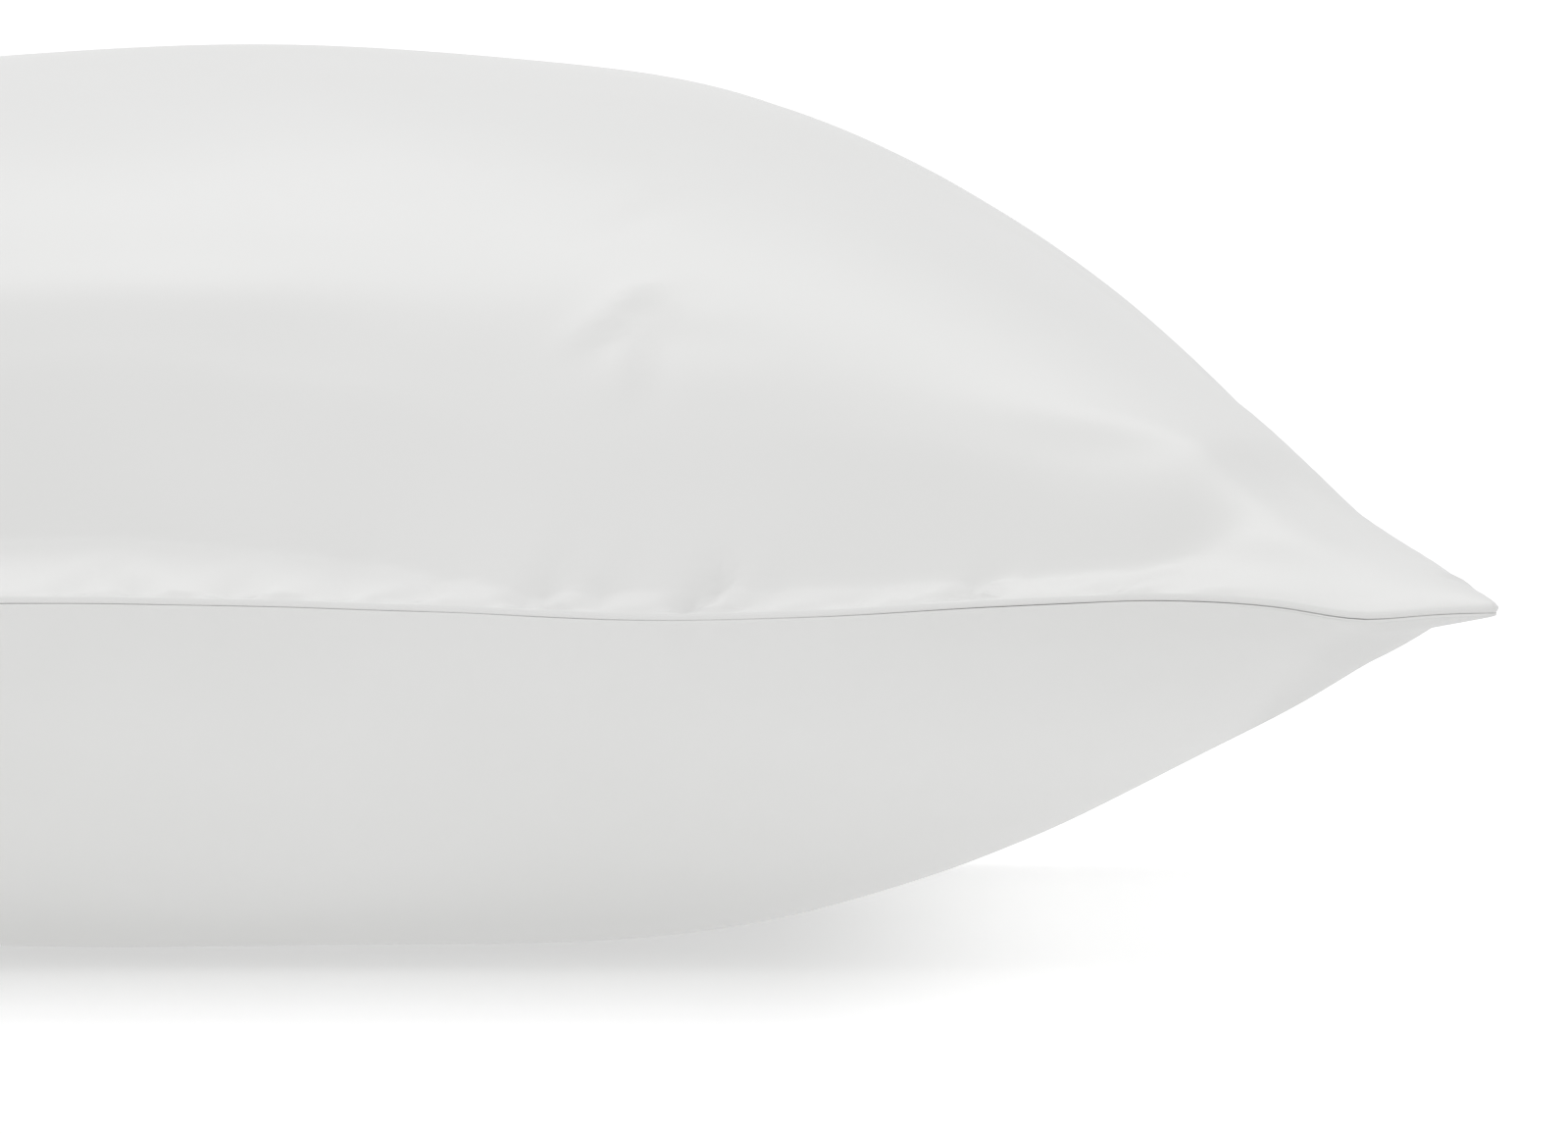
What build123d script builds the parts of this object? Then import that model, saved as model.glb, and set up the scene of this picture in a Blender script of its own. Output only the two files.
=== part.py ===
from build123d import *
import math
import os

# A bed pillow lying on its belly. Millimetres. X runs along the short ends, Y along the long sides
# and Z up. The origin is on the floor, under the middle of the pillow.

# Plan of the filled pillow: the corners stand out as ears and every side draws in between them.
HALF_WIDTH = 238.0
HALF_LENGTH = 318.0
SIDE_PULL = 15.0
END_PULL = 16.0
CORNER_RADIUS = 5.0

# Heights. The belly would drop below the floor, and rests on it as a flat patch instead.
SEAM_HEIGHT = 71.0
CROWN_RISE = 103.0
BELLY_DROP = 78.0
# How the section falls from the crown to the seam: this share as a square, the rest as a fourth power.
SQUARE_SHARE = 0.35

# Cloth, seam and threads.
CLOTH = 1.0
ALLOWANCE = 10.0
THREAD_WIDTH = 0.8
THREAD_HEIGHT = 0.6
SEAM_INSET = 4.0
CLOSING_INSET = 2.0
OPENING = 240.0
OVERLOCK_WIDTH = 1.2

# Filling.
CLEARANCE = 0.5
BATT = 16.0
CORE_INSET = 15.0

# Care label: a folded tape caught in the far end's seam, hanging from its edge.
LABEL_WIDTH = 30.0
LABEL_HANG = 32.0
LABEL_THICKNESS = 0.8
LABEL_X = -150.0
LABEL_GAP = 0.3

# Bezier control values, at degree four over -1 to 1, of t, t squared and t to the fourth.
LINEAR = (-1.0, -0.5, 0.0, 0.5, 1.0)
SQUARE = (1.0, 0.0, -1.0 / 3.0, 0.0, 1.0)
FOURTH = (1.0, -1.0, 1.0, -1.0, 1.0)
FALL = [1.0 - SQUARE_SHARE * s - (1.0 - SQUARE_SHARE) * q for s, q in zip(SQUARE, FOURTH)]
TALL = 400.0


def control_point(i, j, rise, inset, level):
    """One control point of a half's skin, which swells by rise above level."""
    x = LINEAR[i] * (HALF_WIDTH - inset - SIDE_PULL * (1.0 - SQUARE[j]))
    y = LINEAR[j] * (HALF_LENGTH - inset - END_PULL * (1.0 - SQUARE[i]))
    return (x, y, level + rise * FALL[i] * FALL[j])


def half(rise, inset=0.0, level=SEAM_HEIGHT):
    """Half a pillow: a flat base at level under a crowned skin, or over a bellied one if rise is negative."""
    count = range(len(LINEAR))
    skin = Face.make_bezier_surface([[control_point(i, j, rise, inset, level) for j in count] for i in count])
    base = Face(Wire(skin.edges()))
    return Solid(Shell([skin, base]))


def slab(low, high):
    """Everything between two heights."""
    return Pos(0, 0, (low + high) / 2) * Box(TALL * 2, TALL * 2, high - low)


def column(inset, low, high, radius=CORNER_RADIUS):
    """The plan outline, set in by inset and with rounded corners, between two heights."""
    x, y = HALF_WIDTH - inset, HALF_LENGTH - inset
    corners = [(-x, -y), (x, -y), (x, y), (-x, y)]
    middles = [(0, 2 * END_PULL - y), (x - 2 * SIDE_PULL, 0), (0, y - 2 * END_PULL), (2 * SIDE_PULL - x, 0)]
    edges = [Bezier(corners[i - 1], middles[i - 1], corners[i]) for i in range(4)]
    prism = Pos(0, 0, low) * extrude(Face(Wire(edges)), high - low)
    return fillet(prism.edges().filter_by(Axis.Z), radius)


def ring(inset, width, low, high):
    """A band that follows the plan outline, from inset to inset plus width."""
    return column(inset, low, high) - column(inset + width, low - 1, high + 1)


def opening_zone():
    """The stretch of the far end's edge that stays open until the pillow is filled."""
    return Pos(0, HALF_LENGTH, SEAM_HEIGHT) * Box(OPENING, 6 * ALLOWANCE, 2 * ALLOWANCE)


def thread(inset):
    """A seam's thread, drawn as one band that lies in the seam."""
    return ring(inset, THREAD_WIDTH, SEAM_HEIGHT - THREAD_HEIGHT / 2, SEAM_HEIGHT + THREAD_HEIGHT / 2)


def care_label():
    """A leg caught between the panels and a leg that hangs down outside them."""
    edge_y = HALF_LENGTH - END_PULL * (1 - (LABEL_X / HALF_WIDTH) ** 2)
    lean = math.degrees(math.atan(2 * END_PULL * LABEL_X / HALF_WIDTH**2))
    caught = SEAM_INSET - CLOSING_INSET + 1
    reach = caught + LABEL_GAP + LABEL_THICKNESS
    tongue = Pos(0, reach / 2 - caught, 0) * Box(LABEL_WIDTH, reach, LABEL_THICKNESS)
    drop = LABEL_HANG + LABEL_THICKNESS / 2
    tail = Box(LABEL_WIDTH, LABEL_THICKNESS, drop)
    tail = Pos(0, LABEL_GAP + LABEL_THICKNESS / 2, LABEL_THICKNESS / 2 - drop / 2) * tail
    return Pos(LABEL_X, edge_y, SEAM_HEIGHT) * Rot(0, 0, lean) * (tongue + tail)


def panel(side):
    """A shell panel with its seam allowance: the upper one for side 1, the lower one for side -1."""
    rise = CROWN_RISE if side > 0 else -BELLY_DROP
    outer_zone = slab(SEAM_HEIGHT, TALL) if side > 0 else slab(0, SEAM_HEIGHT)
    inner_zone = slab(SEAM_HEIGHT, TALL) if side > 0 else slab(CLOTH, SEAM_HEIGHT)
    outer = half(rise) & column(0, -TALL, TALL) & outer_zone
    hollow = half(rise, level=SEAM_HEIGHT - side * CLOTH) & inner_zone
    low, high = sorted((SEAM_HEIGHT, SEAM_HEIGHT + side * CLOTH))
    return outer - (hollow - ring(-CLOTH, ALLOWANCE + CLOTH, low, high))


def fill_core():
    """The loose core: a smaller pillow inside the batts."""
    upper = half(CROWN_RISE - BATT, CORE_INSET)
    lower = half(BATT - BELLY_DROP, CORE_INSET) & slab(BATT, SEAM_HEIGHT)
    return upper + lower


def batt(side):
    """The batt between the core and a panel, with a gap to both."""
    rise = CROWN_RISE if side > 0 else -BELLY_DROP
    gap = CLOTH + CLEARANCE
    zone = slab(SEAM_HEIGHT + gap, TALL) if side > 0 else slab(gap, SEAM_HEIGHT - gap)
    space = half(rise, level=SEAM_HEIGHT - side * gap) & zone
    core = half(rise - side * BATT, CORE_INSET, SEAM_HEIGHT + side * CLEARANCE)
    if side < 0:
        core = core & slab(BATT - CLEARANCE, TALL)
    return space - core


def build():
    opening = opening_zone()
    perimeter = thread(SEAM_INSET) - opening
    closing = thread(CLOSING_INSET) & opening
    label = care_label()
    sewn_in = [perimeter, closing, label]
    top = panel(1) - sewn_in
    bottom = panel(-1) - sewn_in
    overlock = ring(ALLOWANCE, OVERLOCK_WIDTH, SEAM_HEIGHT - CLOTH, SEAM_HEIGHT + CLOTH)
    return {
        "top_panel": top,
        "bottom_panel": bottom,
        "perimeter_seam_thread": perimeter,
        "closing_seam_thread": closing,
        "overlock_thread": overlock - [top, bottom],
        "fill_core": fill_core(),
        "fill_batt_top": batt(1),
        "fill_batt_bottom": batt(-1),
        "care_label": label,
    }


os.makedirs("parts", exist_ok=True)
for name, shape in build().items():
    export_step(shape, f"parts/{name}.step")
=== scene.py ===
import math

import bpy
import numpy as np
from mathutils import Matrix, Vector


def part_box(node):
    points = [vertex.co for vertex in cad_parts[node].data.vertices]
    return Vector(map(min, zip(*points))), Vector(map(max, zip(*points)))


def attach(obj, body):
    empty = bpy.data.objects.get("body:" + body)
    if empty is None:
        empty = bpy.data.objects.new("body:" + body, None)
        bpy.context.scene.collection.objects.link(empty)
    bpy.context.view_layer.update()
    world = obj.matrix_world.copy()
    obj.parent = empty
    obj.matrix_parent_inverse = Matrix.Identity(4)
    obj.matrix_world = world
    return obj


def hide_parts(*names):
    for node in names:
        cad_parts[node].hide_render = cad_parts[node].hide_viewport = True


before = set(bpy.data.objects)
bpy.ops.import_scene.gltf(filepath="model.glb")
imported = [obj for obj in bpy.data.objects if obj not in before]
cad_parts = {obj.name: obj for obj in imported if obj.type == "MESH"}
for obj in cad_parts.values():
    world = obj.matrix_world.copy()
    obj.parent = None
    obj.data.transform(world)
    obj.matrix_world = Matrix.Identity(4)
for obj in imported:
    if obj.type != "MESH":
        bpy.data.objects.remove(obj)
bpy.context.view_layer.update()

# A bed pillow. Everything is in metres, in the CAD's frame: X along the short ends, Y along the
# long sides, Z up. A place on the cloth is written as (a, b), from -1 to 1 across the two cuts.
MM = 0.001

# -------------------- sizes taken from the frame
top_low, top_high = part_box("top_panel")
closing_low, closing_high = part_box("closing_seam_thread")
label_low, label_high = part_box("care_label")
HALF_X, HALF_Y = top_high.x, top_high.y
SEAM_Z = top_low.z
CROWN_RISE = 0.993 * (top_high.z - SEAM_Z)

# -------------------- the form, as the CAD has it
SIDE_PULL, END_PULL = 16 * MM, 16 * MM
BELLY_DROP = 78 * MM
TOP_SQUARE_SHARES, BOTTOM_SQUARE_SHARES = (0.43, 0.49), (0.41, 0.41)
TOP_FILL, BOTTOM_FILL = (0.73, 0.2), (0.4, 0.0)
CORNER_ROUNDING = 4 * MM
REST_SOFTNESS = 7 * MM
FAR_EAR_DROOP, FAR_EAR_SIZE = 4 * MM, 60 * MM
# A slight swell either side of the crown: its height, place and half width.
SHOULDER, SHOULDER_PLACE, SHOULDER_WIDTH = 2.3 * MM, 0.45, 0.15
# Nearness to an ear's tip is 0 along the middle and 1 at the tip. Where the near ears grow plumper:
PLUMP_START, PLUMP_GROWTH = 0.45, 0.5
# Under each ear, where the cloth is fuller and where it is pinched: (share, nearness, over how much).
UNDER_FULLER, UNDER_PINCHED = (0.13, 0.47, 0.17), (0.45, 0.64, 0.14)
# How much the plan is widened to make up for the rounding of its corners.
ROUNDING_MARGIN = 0.8 * MM
# The higher this is, the nearer the seam the cloth starts to run evenly along it.
SEAM_EVENNESS = 6
SWELL_FLOOR = 1e-5

# -------------------- cloth and sewing
CUT_X, CUT_Y = 254 * MM, 330 * MM
CLOTH = 0.4 * MM
SEAM_ALLOWANCE = 10 * MM
# The seam rolls' sections: bends from one facing to another, in degrees above level, with lengths in mm.
TOP_ROLL = [(60, -25, 0.55), (-25, -35, 0.85)]
BOTTOM_ROLL = [(50, -20, 0.6)]
OVERHANG = 0.36 * MM
PLY_GAP = 0.01 * MM
# The panels part where the label passes: by how much, how far beyond the tape, where and how slowly
# the gap closes beside it, and how far in it reaches.
LABEL_GAP, GAP_MARGIN, GAP_EDGE, GAP_CLOSING, GAP_REACH = 0.35 * MM, 4 * MM, 1.15, 0.3, 6 * MM
OPENING = closing_high.x - closing_low.x
STITCH, OVERLOCK = 3 * MM, 2.6 * MM
STITCH_INSET, CLOSING_INSET = 4 * MM, 2 * MM
LABEL_PLY, LABEL_HANG, LABEL_INSIDE, LABEL_BEND = 0.2 * MM, 32 * MM, 8 * MM, 2.4 * MM
LABEL_WAVE, LABEL_SWAY, LABEL_CLEARANCE, LABEL_COUNT = 0.9 * MM, 1.5 * MM, 0.2 * MM, 17

# -------------------- filling
BATT, BATT_CLEARANCE, SEAM_GAP = 16 * MM, 0.8 * MM, 0.4 * MM
CORE_INSET, BATT_INSET = 15 * MM, 11 * MM
# The fibre's lumps: their size and depth, and how far the surface is sunk for them.
CORE_LUMPS, CORE_SINK = (45 * MM, 0.9 * MM), 1.2 * MM
BATT_LUMPS, BATT_SINK = (26 * MM, 0.4 * MM), 0.8 * MM
FIBRE_FADE, FIBRE_WAVES, FIBRE_SPREAD = 0.08, 18, (0.6, 1.8)

# -------------------- mesh fineness
EDGE_STEP, MID_STEP, STEP_GROWTH = 0.7 * MM, 3.6 * MM, 1.22
ROLL_STEPS = 4
ALLOWANCE_STEPS = (1.5 * MM, 4 * MM, 7 * MM, SEAM_ALLOWANCE)
FILL_COUNT_A, FILL_COUNT_B = 90, 118

# -------------------- studio
CAMERA_DISTANCE, CAMERA_ELEVATION, SHOWN_WIDTH = 3.0, math.radians(1.5), 283 * MM
CAMERA_TARGET = Vector((108 * MM, -HALF_Y, SEAM_Z + 8.3 * MM))
SENSOR = 36
WORLD_LIGHT = 0.89
# The lights: where they are, what they point at, their width and height, and their power.
SOFTBOX = (0.0, 1.25, 1.75), (0, 0, 0.1), 2.0, 0.62, 5.2
FRONT_FILL = (-2.0, -3.2, 1.7), (0, 0, 0.05), 2.0, 0.6, 18
# The table that the camera sees lights nothing; to either side of the pillow's middle it glows more,
# which is painted light that lifts the pillow's shadow there. The two under it aren't seen, and light the
# pillow.
TABLE_TONE, TABLE_SIZE = 0.74, 30
SEEN_LEVEL, FAR_LEVEL, NEAR_LEVEL = -0.2 * MM, -0.6 * MM, -0.4 * MM
SEEN_GLOW, FAR_GLOW, NEAR_GLOW = 0.3, 0.17, 0.41
# Painted light on the seen table: its glow beside the pillow, and the distances from the middle over
# which the glow rises to it.
PAINTED_SIDE_LIGHT, SIDE_START, SIDE_END = 0.5, 0.1, 0.17
NEAR_TABLE_PLACE, NEAR_TABLE_SIZE = (-0.06, -0.06), 0.55
DOME_RADIUS, DOME_GLOW = 24, 1.1


# ==================== camera, light and floor
def aim(obj, target):
    obj.rotation_euler = (Vector(target) - obj.location).to_track_quat("-Z", "Y").to_euler()


def make_camera():
    """A long lens, level with the bed, square to the near short end and centred right of its middle."""
    data = bpy.data.cameras.new("camera")
    data.sensor_width = SENSOR
    data.lens = SENSOR * CAMERA_DISTANCE / SHOWN_WIDTH
    data.clip_end = 100
    camera = bpy.data.objects.new("camera", data)
    bpy.context.collection.objects.link(camera)
    back = Vector((0, -math.cos(CAMERA_ELEVATION), math.sin(CAMERA_ELEVATION)))
    camera.location = CAMERA_TARGET + back * CAMERA_DISTANCE
    aim(camera, CAMERA_TARGET)
    bpy.context.scene.camera = camera


def area_light(name, place, target, width, height, power):
    data = bpy.data.lights.new(name, "AREA")
    data.shape, data.size, data.size_y, data.energy = "RECTANGLE", width, height, power
    light = bpy.data.objects.new(name, data)
    bpy.context.collection.objects.link(light)
    light.location = place
    aim(light, target)


def glowing(name, colour, glow):
    mat = bpy.data.materials.new(name)
    mat.use_nodes = True
    shader = mat.node_tree.nodes["Principled BSDF"]
    shader.inputs["Base Color"].default_value = (colour, colour, colour, 1)
    shader.inputs["Roughness"].default_value = 0.9
    shader.inputs["Specular IOR Level"].default_value = 0.1
    shader.inputs["Emission Color"].default_value = (1, 1, 1, 1)
    shader.inputs["Emission Strength"].default_value = glow
    return mat


def paint_light_beside(mat):
    """Painted light: the table glows more to either side of the pillow's middle, which lifts the pillow's
    shadow there.
    """
    tree = mat.node_tree
    place = tree.nodes.new("ShaderNodeTexCoord")
    split = tree.nodes.new("ShaderNodeSeparateXYZ")
    size = tree.nodes.new("ShaderNodeMath")
    size.operation = "ABSOLUTE"
    rise = tree.nodes.new("ShaderNodeMapRange")
    rise.interpolation_type = "SMOOTHSTEP"
    rise.inputs["From Min"].default_value = SIDE_START
    rise.inputs["From Max"].default_value = SIDE_END
    rise.inputs["To Min"].default_value = SEEN_GLOW
    rise.inputs["To Max"].default_value = PAINTED_SIDE_LIGHT
    tree.links.new(place.outputs["Object"], split.inputs[0])
    tree.links.new(split.outputs["X"], size.inputs[0])
    tree.links.new(size.outputs[0], rise.inputs["Value"])
    tree.links.new(rise.outputs["Result"], tree.nodes["Principled BSDF"].inputs["Emission Strength"])


def camera_only(obj):
    """The camera sees it, and it neither lights nor shades anything."""
    obj.visible_diffuse = obj.visible_glossy = False
    obj.visible_transmission = obj.visible_shadow = False


def plane(name, place, size, mat):
    bpy.ops.mesh.primitive_plane_add(size=size, location=place)
    obj = bpy.context.object
    obj.name = name
    obj.data.materials.append(mat)
    return obj


def make_tables():
    seen_mat = glowing("pale_table_painted_light", TABLE_TONE, SEEN_GLOW)
    # Painted light: the seen table glows more beside the pillow, which lifts the pillow's shadow there.
    paint_light_beside(seen_mat)
    camera_only(plane("floor", (0, 0, SEEN_LEVEL), TABLE_SIZE, seen_mat))
    far_mat = glowing("bounce_card", TABLE_TONE, FAR_GLOW)
    near_mat = glowing("near_card", TABLE_TONE, NEAR_GLOW)
    far = plane("floor_bounce", (0, 0, FAR_LEVEL), TABLE_SIZE, far_mat)
    near = plane("floor_bounce_near", (*NEAR_TABLE_PLACE, NEAR_LEVEL), NEAR_TABLE_SIZE, near_mat)
    far.visible_camera = near.visible_camera = False


def make_dome():
    """A white sphere behind everything."""
    bpy.ops.mesh.primitive_uv_sphere_add(segments=48, ring_count=24, radius=DOME_RADIUS)
    dome = bpy.context.object
    dome.name = "white_dome"
    dome.data.materials.append(glowing("white_card", 0.0, DOME_GLOW))
    camera_only(dome)


def make_studio():
    """Even soft light, a softbox above and behind the pillow, a pale table with painted light beside the
    pillow, and a white dome.
    """
    world = bpy.data.worlds.new("studio")
    bpy.context.scene.world = world
    world.use_nodes = True
    world.node_tree.nodes["Background"].inputs["Color"].default_value = (1, 1, 1, 1)
    world.node_tree.nodes["Background"].inputs["Strength"].default_value = WORLD_LIGHT
    area_light("softbox", *SOFTBOX)
    area_light("front_fill", *FRONT_FILL)
    bpy.context.scene.view_settings.view_transform = "Standard"
    make_tables()
    make_dome()


# ==================== the pillow's form
def fall(t, square_share):
    """The section from crown to seam: 1 in the middle and 0 at the edge."""
    return np.maximum(1 - square_share * t**2 - (1 - square_share) * t**4, SWELL_FLOOR)


def swell(u, v, square_shares, fill, side_ledge=0.0, end_ledge=0.0):
    """How far the cloth stands off the seam's level, from 0 to 1. More fill is a plumper corner, and
    the near ears are plumper still. The ledges hold down what each side's seam allows."""
    near_ear = smoothstep((u**2 * v**2 - PLUMP_START) / PLUMP_GROWTH)
    p = fill[0] + fill[1] * near_ear * smoothstep(0.5 - 2 * v)
    across = np.maximum(fall(u, square_shares[0]) - side_ledge, SWELL_FLOOR)
    along = np.maximum(fall(v, square_shares[1]) - end_ledge, SWELL_FLOOR)
    return (across**-p + along**-p - 1) ** (-1 / p)


def under_ear(u, v):
    """Under each ear the bottom panel is pinched thin at the tip, and fuller a little further in."""
    to_tip = u**2 * v**2
    more, place, reach = UNDER_FULLER
    less, start, growth = UNDER_PINCHED
    fuller = more * np.exp(-(((to_tip - place) / reach) ** 2))
    return 1 + fuller - less * smoothstep((to_tip - start) / growth)


def smooth_through(knots, x):
    """A smooth curve through a few (x, y) knots."""
    kx, ky = (np.array(k, float) for k in zip(*knots))
    slope = np.gradient(ky, kx)
    i = np.clip(np.searchsorted(kx, x) - 1, 0, len(kx) - 2)
    width = kx[i + 1] - kx[i]
    t = np.clip((x - kx[i]) / width, 0, 1)
    start = ky[i] * (1 + 2 * t) * (1 - t) ** 2 + slope[i] * width * t * (1 - t) ** 2
    end = ky[i + 1] * t**2 * (3 - 2 * t) + slope[i + 1] * width * t**2 * (t - 1)
    return start + end


def smoothstep(x):
    x = np.clip(x, 0, 1)
    return x * x * (3 - 2 * x)


def arc_table(half_plan, rise):
    """Plan fraction against cloth fraction, so that cloth runs evenly over the curved section."""
    u = np.linspace(0, 1, 500)
    step = np.hypot(half_plan * np.diff(u), rise * np.diff(fall(u, TOP_SQUARE_SHARES[1])))
    length = np.concatenate([[0], np.cumsum(step)])
    return u, length / length[-1]


ARC_X = arc_table(HALF_X - SIDE_PULL, CROWN_RISE)
ARC_Y = arc_table(HALF_Y - END_PULL, CROWN_RISE)


def plan_fraction(t, other, table):
    """Cloth fraction to plan fraction: by arc length in the middle, evenly along the seam itself."""
    curved = np.sign(t) * np.interp(np.abs(t), table[1], table[0])
    return curved + (t - curved) * np.abs(other) ** SEAM_EVENNESS


def plan(u, v, inset=0.0):
    """Plan position: sides drawn in between the corners, and the corners a little rounded."""
    half_x, half_y = HALF_X + ROUNDING_MARGIN - inset, HALF_Y + ROUNDING_MARGIN - inset
    x = u * (half_x - SIDE_PULL * (1 - v**2))
    y = v * (half_y - END_PULL * (1 - u**2))
    to_corner = (half_x - np.abs(x)) + (half_y - np.abs(y))
    blunt = 0.5 * CORNER_ROUNDING * np.exp(-to_corner / CORNER_ROUNDING)
    return x - np.sign(x) * blunt, y - np.sign(y) * blunt


# The near end's seam rises and dips by a millimetre or two: (place along it, height).
NEAR_SEAM = [
    (-237, 0), (-205, -1.3), (-165, 1.2), (-110, -0.8), (-55, 1.3), (-19, 1.55), (0, 1.2), (16, 0.8),
    (33, 0.1), (51, -0.6), (66, -1.5), (78, -2.0), (112, -1.3), (145, 0.8), (160, 1.5), (175, 2.1),
    (198, 0.9), (210, -1.2), (215, -1.6), (227, -0.9), (237, 0),
]
# The other sides' seams rise and dip in slow waves: (height, length, phase), with lengths in mm.
FAR_SEAM, RIGHT_SEAM = [(1.3, 31, 0.7)], [(1.6, 47, 0.4), (0.7, 21, 0.0)]
LEFT_SEAM = [(1.5, 43, 2.1), (0.8, 19, 1.0)]
# How far into the panel a side's waves reach, where they end before the corners, and what share of the
# near end's is left at its tips.
SEAM_REACH, END_FADE, SIDE_FADE, TIP_SHARE = 70 * MM, 25 * MM, 40 * MM, 0.3


def waves(s, parts):
    return sum(height * MM * np.sin(s / (length * MM) + phase) for height, length, phase in parts)


def seam_level(x, y):
    """How far the seam rides above or below its mean height, fading out into the panels."""
    near = smooth_through(NEAR_SEAM, x / MM) * MM

    def near_edge(d):
        return np.clip(1 - np.abs(d) / SEAM_REACH, 0, 1) ** 2

    at_end = np.clip((HALF_X - np.abs(x)) / END_FADE, 0, 1)
    at_side = np.clip((HALF_Y - np.abs(y)) / SIDE_FADE, 0, 1)
    level = near * near_edge(y + HALF_Y - END_PULL / 2) * np.maximum(at_end, TIP_SHARE)
    level += waves(x, FAR_SEAM) * near_edge(HALF_Y - END_PULL / 2 - y) * at_end
    level += waves(y, RIGHT_SEAM) * near_edge(HALF_X - SIDE_PULL / 2 - x) * at_side
    level += waves(y, LEFT_SEAM) * near_edge(x + HALF_X - SIDE_PULL / 2) * at_side
    far_ear = np.hypot(HALF_X - np.abs(x), HALF_Y - y)
    return level - FAR_EAR_DROOP * np.exp(-((far_ear / FAR_EAR_SIZE) ** 2))


def label_gape(x, y):
    """The two panels stand a little apart where the label's tape passes between them."""
    half = (label_high.x - label_low.x) / 2
    beside = np.abs(x - label_low.x - half) / (half + GAP_MARGIN)
    inward = np.exp(-np.abs(HALF_Y - END_PULL - y) / GAP_REACH)
    return LABEL_GAP * smoothstep((GAP_EDGE - beside) / GAP_CLOSING) * inward


def rest_on_floor(z):
    """Cloth that would hang below the floor lies on it, with a soft turn into the flat patch."""
    k = REST_SOFTNESS
    turned = np.where(z > k, z, (z + k) ** 2 / (4 * k))
    return np.where(z < -k, 0.0, turned)


# ==================== creases and puckers
# A crease's valley and its ridge, as shares of the crease's depth and width.
CREASE_VALLEY, CREASE_RIDGE, RIDGE_PLACE, RIDGE_WIDTH = 0.6, 0.8, 1.6, 1.1
# The ridges on both sides of a pucker: (place, height), as shares of the pucker's width and depth.
PUCKER_RIDGES = (1.7, 0.45), (-1.8, 0.25)
PUCKER_START, PUCKER_FADE = 3 * MM, 45 * MM
# The share of the lumps and the puckers that the bottom panel shows.
BELLY_LUMPS, BELLY_PUCKERS = 0.6, 0.2


def segment_distance(p, start, end):
    """Distance across a crease's line, and place along it from 0 to 1."""
    start, end = np.array(start, float), np.array(end, float)
    line = end - start
    along = ((p - start) @ line) / (line @ line)
    off = (p - start) - along[..., None] * line
    side = np.sign(off[..., 0] * line[1] - off[..., 1] * line[0])
    return side * np.linalg.norm(off, axis=-1), along


def crease(p, start, end, width, depth):
    """A crease from start to end on the cloth: a valley with a low ridge on one side."""
    across, along = segment_distance(p, start, end)
    taper = smoothstep((along + 0.15) / 0.4) * smoothstep((1.15 - along) / 0.5)
    valley = -CREASE_VALLEY * depth * np.exp(-((across / width) ** 2))
    from_ridge = (across - RIDGE_PLACE * width) / (RIDGE_WIDTH * width)
    ridge = CREASE_RIDGE * depth * np.exp(-(from_ridge**2))
    return (valley + ridge) * taper


# Puckers that run up from the near seam: (place, lean, length, width, depth), in millimetres.
NEAR_PUCKERS = [
    (-214, 0.1, 16, 4.0, 0.8), (-187, -0.3, 20, 4.4, 1.0), (-152, 0.2, 22, 4.2, 1.1),
    (-121, -0.2, 18, 4.0, 0.9), (-88, 0.3, 26, 4.6, 1.2), (-52, 0.1, 22, 5.0, 0.9),
    (-24, 0.5, 30, 3.6, 0.9), (-9, -0.2, 24, 3.0, 1.3), (8, 0.2, 22, 4.0, 1.5), (28, 0.1, 30, 3.4, 0.9),
    (40, 0.6, 20, 3.4, 0.9), (64, 0.35, 26, 3.6, 1.5), (76, 0.3, 22, 3.2, 0.9), (95, 0.3, 24, 3.0, 2.3),
    (108, 0.2, 18, 3.6, 0.7), (127, 0.4, 14, 3.4, 0.6), (147, 0.35, 18, 2.6, 1.8),
    (155, 0.3, 12, 2.6, 0.7), (176, 0.4, 16, 2.8, 1.2), (190, 0.3, 14, 3.4, 0.5),
]


# The other sides' puckers: how far from the corners, how unevenly spread, and the least and most of
# their lean, length, width and depth.
PUCKER_MARGIN, PUCKER_SHIFT = 22, 9
PUCKER_RANGES = (-0.6, 0.6), (11, 26), (2.8, 4.6), (0.7, 1.8)


def side_puckers(seed, half, count):
    """Puckers spread unevenly along a side that the near end's list doesn't cover."""
    random = np.random.default_rng(seed)
    places = np.linspace(-half + PUCKER_MARGIN, half - PUCKER_MARGIN, count)
    places += random.uniform(-PUCKER_SHIFT, PUCKER_SHIFT, count)
    return [(s, *(random.uniform(*limits) for limits in PUCKER_RANGES)) for s in places]


FAR_PUCKERS = side_puckers(11, 254, 13)
RIGHT_PUCKERS = side_puckers(12, 330, 17)
LEFT_PUCKERS = side_puckers(13, 330, 17)


def pucker_field(s, d, puckers, strength):
    """Height change from one side's puckers; s runs along the side and d inward from its seam."""
    total = np.zeros_like(s)
    for place, lean, length, width, depth in puckers:
        across = (s - place * MM - lean * d) / (width * MM)
        reach = length * MM
        fade = smoothstep(d / PUCKER_START) * smoothstep(1.2 - d / reach)
        valley = -np.exp(-(across**2))
        ridges = sum(height * np.exp(-((across - at) ** 2)) for at, height in PUCKER_RIDGES)
        total += strength * depth * MM * (valley + ridges) * fade
    return total


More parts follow.
